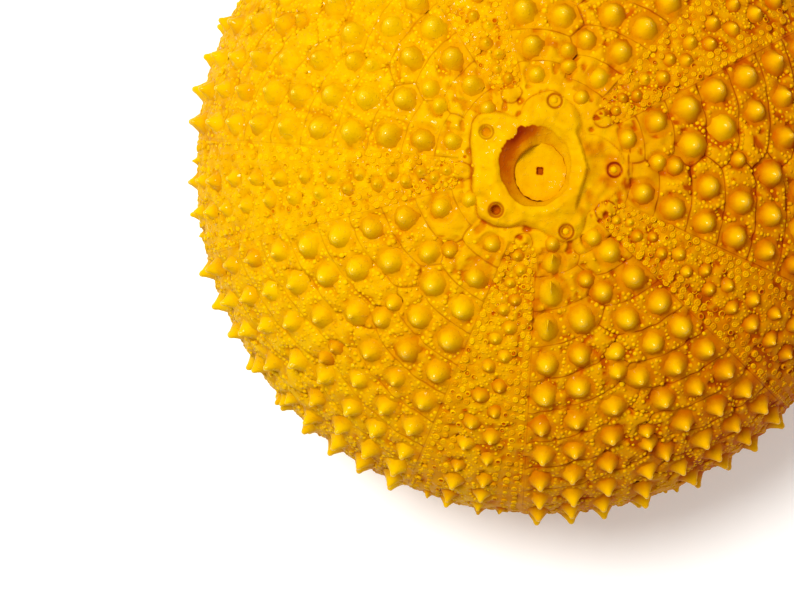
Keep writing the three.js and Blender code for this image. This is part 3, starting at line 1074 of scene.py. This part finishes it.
def wear_to_crest(unit):
    """Pulls the tip of a tubercle towards the apex and pinches it into a fluted crest."""
    places = vertex_places(unit.data)
    angle = np.arctan2(places[:, 1], places[:, 0])
    share = np.clip(places[:, 2] / TUBERCLE_HEIGHT, 0, 1)
    flute = 1 + 0.22 * np.cos(5 * angle) * smooth(0.0, 0.4, share)
    places[:, 0] = places[:, 0] * flute * (1 + 0.2 * share) - 1.2 * MM * smooth(0.2, 1.0, share)
    places[:, 1] = places[:, 1] * flute * (0.88 - 0.66 * share)
    places[:, 2] *= 1 + 0.1 * share
    move_vertices(unit.data, places)


def raise_tubercles(name, sites, scale, profile):
    """Copies of one turned tubercle on all the sites given."""
    rng = dice(3)
    crested = profile is TORN_PROFILE
    top = max(TIP_HEIGHT - profile[-1][1], 0.06) * MM
    unit = raised_rings("tubercle_shape", 10 if crested else 9,
                        [(radius * MM, height * MM) for radius, height in profile], top)
    shade(unit, "height", TUBERCLE_SHADE)
    if crested:
        wear_to_crest(unit)
    places, normals = SURFACE.stand(sites, -0.1 * MM)
    stretch = 1 + rng.normal(0, 0.035, (len(sites), 3))
    piece = scatter(name, unit, places, tilted(normals, 0.035, rng),
                    (sites[:, 3] * scale)[:, None] * stretch, rng.normal(0, 0.5, len(sites)))
    discard(unit)
    return piece


class Spread:
    """Keeps places that are far enough from all those kept before."""

    def __init__(self, cell):
        self.cell = cell
        self.kept = {}

    def add(self, point, gap):
        x, y, z = (int(math.floor(value / self.cell)) for value in point)
        for i, j, k in NEIGHBOURS:
            for other in self.kept.get((x + i, y + j, z + k), ()):
                if sum((p - q) ** 2 for p, q in zip(point, other)) < gap * gap:
                    return False
        self.kept.setdefault((x, y, z), []).append(point)
        return True


def pore_sites():
    """Row, turn, sector and size of the pores, in slanting arcs of three beside each band."""
    rng = dice(4)
    sites = []
    last = MERIDIAN.end - 2 * MM
    for sector in range(SECTORS):
        for side in (0, 1):
            for number, offset in enumerate(PORE_COLUMNS):
                along = 10.2 * MM + number * 0.35 * MM
                while along < last:
                    share = float(MERIDIAN.plate_share(along))
                    wobble = offset + rng.normal(0, 0.16)
                    turn = wobble if side == 0 else SURFACE.width[sector] - wobble
                    row = float(MERIDIAN.row_at(along + rng.normal(0, 0.08 * MM)))
                    sites.append((row, turn, sector, share ** 0.8 * (1 + rng.normal(0, 0.1))))
                    along += PORE_STEP * share
    return np.array(sites)


PORES = pore_sites()


def granule_candidates(rng):
    """Places where granules may stand: 0 round tubercles, 1 beside seams, 2 anywhere."""
    sites = []
    for site in TUBERCLES:
        place = (site[0], site[1], int(site[2]))
        around = site[3] * RING_REACH
        count = round(2 * math.pi * around / RING_STEP)
        for k in range(count):
            angle = 2 * math.pi * (k + rng.uniform(-0.15, 0.15)) / count
            spot = SURFACE.shifted(place, around * math.cos(angle), around * math.sin(angle))
            sites.append((*spot, place[2], 0))
    last = float(MERIDIAN.row_at(MERIDIAN.end - 1 * MM))
    for sector in range(SECTORS):
        width = SURFACE.width[sector]
        for step in range(int(last * 2) + 1):
            level = step / 2
            along = float(MERIDIAN.along_at(level))
            pace = math.degrees(SEAM_STEP / MERIDIAN.point(along)[0])
            beside = SEAM_GAP / float(MERIDIAN.plate_height(along))
            first, end = ((width / 2, width - BAND_HALF_WIDTH) if step % 2
                          else (BAND_HALF_WIDTH, width / 2))
            for turn in np.arange(first, end, pace):
                for side in (-1, 1):
                    sites.append((level + side * beside + rng.normal(0, 0.008), turn, sector, 1))
        for level in np.arange(0.6, last, LINE_ROWS):
            radius = float(MERIDIAN.point(MERIDIAN.along_at(level))[0])
            beside = math.degrees(LINE_GAP / radius)
            for line in (width / 2, BAND_HALF_WIDTH, width - BAND_HALF_WIDTH):
                for side in (-1, 1):
                    sites.append((level + rng.normal(0, 0.01), line + side * beside, sector, 1))
    share = np.sqrt(rng.uniform(0, 1, LOOSE_PLACES))
    top = MERIDIAN.row_at(MERIDIAN.rim * np.arcsin(share) / (math.pi / 2))
    rows = np.concatenate([top, rng.uniform(top.max() - 1, last, LOOSE_PLACES // 2)])
    sectors = rng.integers(0, SECTORS, len(rows))
    turns = rng.uniform(0, 1, len(rows)) * SURFACE.width[sectors]
    loose = np.stack([rows, turns, sectors, np.full(len(rows), 2)], 1)
    return np.concatenate([np.array(sites), loose])


def granule_sites(gap):
    """Kept places for granules: row, turn, sector and size."""
    rng = dice(5)
    sites = granule_candidates(rng)
    row, turn, sector, kind = sites[:, 0], sites[:, 1], sites[:, 2].astype(int), sites[:, 3]
    along, offset, seam, middle, edge = SURFACE.plate_lines(row, turn, sector)
    points = SURFACE.place(row, turn, sector)[0]
    near = nearest_tubercle(points)
    in_band = offset < BAND_HALF_WIDTH
    bare = smooth(14 * MM, 22 * MM, along) * 0.97 + 0.03 * (along > 11 * MM)
    sparse = np.where(middle < 2.6 * MM, 0.25, smooth(3.4, 2.5, near))
    bare = bare * np.where(kind == 2, sparse, 1.0)
    lower = smooth(MERIDIAN.rim + 10 * MM, MERIDIAN.rim + 2 * MM, along)
    chance = np.where(in_band, smooth(9.4 * MM, 10.5 * MM, along), bare) * (0.35 + 0.65 * lower)
    chance = np.where(in_band & (offset > 3.9) & (edge > 0.7 * MM), 0.12, chance)
    keep = (turn >= 0) & (turn <= SURFACE.width[sector]) & (along < MERIDIAN.end - 1 * MM)
    from_line = np.where(in_band, edge, np.minimum(np.minimum(seam, middle), edge))
    keep &= (from_line > 0.27 * MM) & (near > np.where(kind == 0, 2.0, 1.95))
    keep &= rng.uniform(0, 1, len(sites)) < chance
    spread = Spread(gap)
    for point in SURFACE.stand(PORES)[0]:
        spread.add(tuple(point), 0.35 * MM)
    kept = []
    for k in np.flatnonzero(keep):
        small = 0.8 if in_band[k] else 1.0
        if spread.add(tuple(points[k]), gap * (small if kind[k] != 1 else 0.95 * small)):
            kept.append((row[k], turn[k], sector[k], small * rng.uniform(0.78, 1.12)))
    return np.array(kept)


def stand_on_wall(name, unit, sites, scale, seed, sink):
    """Copies of a small shape on the wall's own relief."""
    rng = dice(seed)
    rise = total_relief(sites[:, 0], sites[:, 1], sites[:, 2].astype(int))[0]
    places, normals = SURFACE.stand(sites, rise - sink)
    sizes = (sites[:, 3] * scale)[:, None] * (1 + rng.normal(0, 0.08, (len(sites), 3)))
    return scatter(name, unit, places, tilted(normals, 0.06, rng), sizes,
                   rng.normal(0, 0.7, len(sites)))


def set_collar_beads(unit):
    """A bead in each of the three collar pores that are filled."""
    flat = GONOPORES[GONOPORE_DEPTHS < 0.4 * MM] + np.array([-0.08, 0.04]) * MM
    rise = apical_relief(flat[:, 0], flat[:, 1])[0]
    top = dome_top(np.hypot(flat[:, 0], flat[:, 1])) + rise - 0.02 * MM
    upright = np.tile([0.0, 0.0, 1.0], (len(flat), 1))
    sizes = np.tile([1.0, 1.0, 1.25], (len(flat), 1)) * MM
    return scatter("collar_beads", unit, np.column_stack([flat, top]), upright, sizes,
                   np.full(len(flat), -0.5))


DISC_SIDES = 56
DISC_SHARES = (0.12, 0.145, 0.19, 0.27, 0.4, 0.55, 0.7, 0.84, 0.94, 1.0)
DISC_THICKNESS = 0.7 * MM


def build_disc():
    """The small dished plate with a squarish hole, a closed pit with painted shade, that lies in
    the apical opening.
    """
    top = DISC_HIGH[2] - 0.2 * MM
    piece = circle("anal_disc", DISC_SIDES, DISC_SHARES[0] * MM, top)
    open_mesh()
    bpy.ops.mesh.select_mode(type="EDGE")
    bpy.ops.mesh.select_all(action="SELECT")
    for before, after in zip(DISC_SHARES, DISC_SHARES[1:]):
        bpy.ops.mesh.extrude_edges_move(TRANSFORM_OT_translate={"value": (0, 0, 0)})
        widen(after / before, top)
    close_mesh()
    mesh = piece.data
    places = vertex_places(mesh)
    x, y = places[:, 0] / MM, places[:, 1] / MM
    share = np.hypot(x, y)
    angle = np.arctan2(y, x)
    outer = smooth(0.55, 1.0, share)
    square = 1 - 0.13 * np.cos(4 * angle + 0.2) * smooth(0.5, 0.15, share)
    ragged = 1 + smooth(0.6, 1.0, share) * (
        0.012 * np.sin(5 * angle + 1) + 0.018 * np.sin(13 * angle)
        + 0.012 * np.sin(23 * angle + 2))
    flare = outer * groove(np.degrees(angle) - 40, 70)
    merged = outer * groove((np.degrees(angle) + 120) % 360 - 180, 125)
    growth = square * ragged * (1 + 0.08 * merged)
    hole_shift = smooth(0.6, 0.0, share) * 0.3 * MM
    places[:, 0] = PLATE_CENTRE[0] + x * growth * PLATE_RADII[0]
    places[:, 1] = PLATE_CENTRE[1] + y * growth * PLATE_RADII[1] + hole_shift
    places[:, 2] = top + (0.25 * share ** 2 + 0.4 * flare - 0.3
                          + 0.05 * np.sin(4 * angle + 3 * share) * share
                          - 0.4 * (share < 0.13)) * MM
    move_vertices(mesh, places)
    # painted shade: darker at the rim and near-black in the pit of the hole
    set_attribute(mesh, "hollow", "FLOAT",
                  0.5 + 0.2 * smooth(0.85, 1.0, share) + 1.6 * smooth(0.2, 0.13, share))
    solid = piece.modifiers.new("Thickness", "SOLIDIFY")
    solid.thickness = DISC_THICKNESS
    solid.offset = -1.0
    apply_modifier(piece, "Thickness")
    bpy.ops.object.shade_smooth_by_angle(angle=math.radians(50))
    return piece


# ---------------------------------------------------------------- add-on

def length(name, description, default, low, high):
    """A length property, its numbers given in millimetres."""
    return bpy.props.FloatProperty(name=name, description=description, default=default * MM,
                                   min=low * MM, max=high * MM, precision=5, unit="LENGTH")


def colour(name, description, *default):
    return bpy.props.FloatVectorProperty(name=name, description=description, default=default,
                                         min=0, max=1, size=3, subtype="COLOR")


class UrchinSizes(bpy.types.PropertyGroup):
    """Sizes of the small features."""

    tubercle_scale: bpy.props.FloatProperty(
        name="Tubercle size", description="Size of all tubercles against the grown size",
        default=1.0, min=0.5, max=1.05, subtype="FACTOR")
    granule_width: length("Granule width", "Width of an average granule", 0.56, 0.1, 1)
    granule_gap: length("Granule spacing", "Least distance between the middles of two granules",
                        0.48, 0.3, 2)
    pore_width: length("Pore width", "Width over the raised rim of an average pore", 0.78, 0.2, 1)


class UrchinColours(bpy.types.PropertyGroup):
    """Colours of the dyed shell and the stage."""

    lit: colour("Raised parts", "Colour of the raised parts of the shell", 0.69, 0.435, 0.0)
    # painted shade and random tone: the colour of the side away from the key light and of random
    # cloud patches
    shaded_side_and_patches: colour("Warm patches", "Colour of the more strongly dyed patches", 0.67, 0.305, 0.0)
    # painted shade: the colour that hollows, sunken rings and the feet of small shapes are
    # darkened towards, with random mottle
    shade_and_mottle: colour("Hollows", "Colour where dye has gathered in the hollows", 0.42, 0.098, 0.0)
    # painted shade: the near-black of the deepest hollows, the pores' middles, the disc's pit and
    # the seat under it; also of the dark seam lines
    pit: colour("Pits", "Colour inside the pores and the opening", 0.20, 0.020, 0.002)
    glint: colour("Glints", "Colour of the shine on the shell", 1.0, 0.62, 0.05)
    floor: colour("Floor", "Colour of the floor", 0.90, 0.90, 0.90)


def settings():
    return bpy.context.scene.urchin_sizes, bpy.context.scene.urchin_colours


class URCHIN_OT_wall(bpy.types.Operator):
    """Builds the shell's wall with its plates, seams, pore bands, collar and hollow inside"""

    bl_idname = "urchin.wall"
    bl_label = "Wall"

    def execute(self, context):
        finish_piece(build_wall())
        return {"FINISHED"}


class URCHIN_OT_tubercles(bpy.types.Operator):
    """Sets the main tubercles and the small ones of the pore bands on the wall"""

    bl_idname = "urchin.tubercles"
    bl_label = "Tubercles"

    def execute(self, context):
        torn = is_torn(TUBERCLES)
        low = MERIDIAN.along_at(TUBERCLES[:, 0]) > NIPPLE_FROM
        for name, sites, profile in (
                ("upper_tubercles", TUBERCLES[~torn & ~low], TUBERCLE_PROFILE),
                ("lower_tubercles", TUBERCLES[low], NIPPLE_PROFILE),
                ("torn_tubercles", TUBERCLES[torn], TORN_PROFILE),
                ("band_tubercles", BAND_TUBERCLES, NIPPLE_PROFILE)):
            finish_piece(raise_tubercles(name, sites, settings()[0].tubercle_scale, profile))
        return {"FINISHED"}


class URCHIN_OT_granules(bpy.types.Operator):
    """Scatters the fine granules over the plates and bands"""

    bl_idname = "urchin.granules"
    bl_label = "Granules"

    def execute(self, context):
        sizes = settings()[0]
        sites = granule_sites(sizes.granule_gap)
        unit = raised_rings("granule_shape", 6, GRANULE_PROFILE, 0.08)
        shade(unit, "height", [(level / MM, value) for level, value in GRANULE_SHADE])
        parts = max(1, math.ceil(len(sites) * GRANULE_TRIANGLES / PIECE_TRIANGLES))
        by_row = sites[np.argsort(sites[:, 0])]
        for number, part in enumerate(np.array_split(by_row, parts)):
            finish_piece(stand_on_wall(f"granules_{number + 1}", unit, part, sizes.granule_width,
                                       6 + number, GRANULE_SINK))
        finish_piece(set_collar_beads(unit))
        discard(unit)
        return {"FINISHED"}


class URCHIN_OT_pores(bpy.types.Operator):
    """Sets the ringed pores along both sides of each band"""

    bl_idname = "urchin.pores"
    bl_label = "Pores"

    def execute(self, context):
        inner = SURFACE.offset(PORES[:, 1], PORES[:, 2].astype(int)) < 5.6
        share = OPEN_PORE_SHARE * np.where(inner, 4.0, 0.7)
        is_open = dice(9).uniform(0, 1, len(PORES)) < share
        # open pores: closed dips whose middles get painted shade in place of a hole; filled pores:
        # low beads
        for name, chosen, tip, stops in (("open_pores", is_open, -0.10, OPEN_PORE_SHADE),
                                         ("filled_pores", ~is_open, 0.16, FILLED_PORE_SHADE)):
            unit = raised_rings("pore_shape", 7, PORE_PROFILE, tip)
            shade(unit, "radius", [(level / MM, value) for level, value in stops])
            finish_piece(stand_on_wall(name, unit, PORES[chosen], settings()[0].pore_width,
                                       20, 0.0))
            discard(unit)
        return {"FINISHED"}


class URCHIN_OT_disc(bpy.types.Operator):
    """Lays the small plate with its hole in the apical opening"""

    bl_idname = "urchin.disc"
    bl_label = "Disc"

    def execute(self, context):
        finish_piece(build_disc(), "periproct_disc")
        return {"FINISHED"}


KEY_AZIMUTH = math.radians(141)
KEY_ELEVATION = math.radians(63)
KEY_DISTANCE = 0.75
KEY_AIM = Vector((0, 0, 25)) * MM
KEY_SIZE = 0.40
KEY_ENERGY = 5.5
TIP_LIGHT_PLACE = (0.17, -0.20, 0.42)
TIP_LIGHT_SIZE = 0.012
TIP_LIGHT_ENERGY = 0.5
SURROUNDINGS = 0.45
CAMERA_PLACE = Vector((-2.8, -8.4, 438.6)) * MM
CAMERA_AIM = Vector((-18.0, -16.2, 18.6)) * MM
CAMERA_LENS = 150.8


class URCHIN_OT_stage(bpy.types.Operator):
    """Adds the pale floor, the lights, the even white surroundings and the camera"""

    bl_idname = "urchin.stage"
    bl_label = "Stage"

    def execute(self, context):
        deselect()
        bpy.ops.mesh.primitive_plane_add(size=6, location=(0, 0, -0.02 * MM))
        floor = named("floor")
        floor.data.materials.append(floor_material("pale_floor", settings()[1].floor))

        level = math.cos(KEY_ELEVATION)
        way = Vector((math.cos(KEY_AZIMUTH) * level, math.sin(KEY_AZIMUTH) * level,
                      math.sin(KEY_ELEVATION)))
        bpy.ops.object.light_add(type="AREA", location=KEY_AIM + way * KEY_DISTANCE)
        key = named("key_light")
        key.rotation_euler = way.to_track_quat("Z", "Y").to_euler()
        key.data.shape = "DISK"
        key.data.size = KEY_SIZE
        key.data.energy = KEY_ENERGY
        key.data.color = (1.0, 0.985, 0.96)
        bpy.ops.object.light_add(type="POINT", location=TIP_LIGHT_PLACE)
        spark = named("tip_light")
        spark.data.shadow_soft_size = TIP_LIGHT_SIZE
        spark.data.energy = TIP_LIGHT_ENERGY

        world = bpy.data.worlds.new("white_surroundings")
        world.use_nodes = True
        background = world.node_tree.nodes["Background"]
        background.inputs["Color"].default_value = (1.0, 0.955, 0.90, 1)
        background.inputs["Strength"].default_value = SURROUNDINGS
        scene = bpy.context.scene
        scene.world = world
        scene.view_settings.view_transform = "Standard"
        scene.view_settings.look = "Medium High Contrast"

        bpy.ops.object.camera_add(location=CAMERA_PLACE)
        camera = named("camera")
        forward = (CAMERA_AIM - CAMERA_PLACE).normalized()
        right = forward.cross(Vector((0, 1, 0))).normalized()
        axes = Matrix((right, right.cross(forward), -forward)).transposed()
        camera.matrix_world = Matrix.Translation(CAMERA_PLACE) @ axes.to_4x4()
        camera.data.sensor_width = 36
        camera.data.lens = CAMERA_LENS
        camera.data.clip_start = 0.01
        camera.data.clip_end = 20
        scene.camera = camera
        return {"FINISHED"}


class URCHIN_PT_panel(bpy.types.Panel):
    """Lists the sizes, the colours and the steps in their order"""

    bl_idname = "URCHIN_PT_panel"
    bl_label = "Sea urchin shell"
    bl_space_type = "VIEW_3D"
    bl_region_type = "UI"
    bl_category = "Urchin"

    def draw(self, context):
        for group in settings():
            box = self.layout.box()
            for name in group.bl_rna.properties.keys():
                if name not in ("rna_type", "name"):
                    box.prop(group, name)
        for operator in STEPS:
            self.layout.operator(operator.bl_idname)


STEPS = (URCHIN_OT_stage, URCHIN_OT_wall, URCHIN_OT_tubercles, URCHIN_OT_pores,
         URCHIN_OT_granules, URCHIN_OT_disc)
CLASSES = (UrchinSizes, UrchinColours) + STEPS + (URCHIN_PT_panel,)


def register():
    for cls in CLASSES:
        bpy.utils.register_class(cls)
    bpy.types.Scene.urchin_sizes = bpy.props.PointerProperty(type=UrchinSizes)
    bpy.types.Scene.urchin_colours = bpy.props.PointerProperty(type=UrchinColours)


def unregister():
    del bpy.types.Scene.urchin_colours
    del bpy.types.Scene.urchin_sizes
    for cls in reversed(CLASSES):
        bpy.utils.unregister_class(cls)


def main():
    register()
    for operator in STEPS:
        group, name = operator.bl_idname.split(".")
        getattr(getattr(bpy.ops, group), name)()


if __name__ == "__main__":
    main()
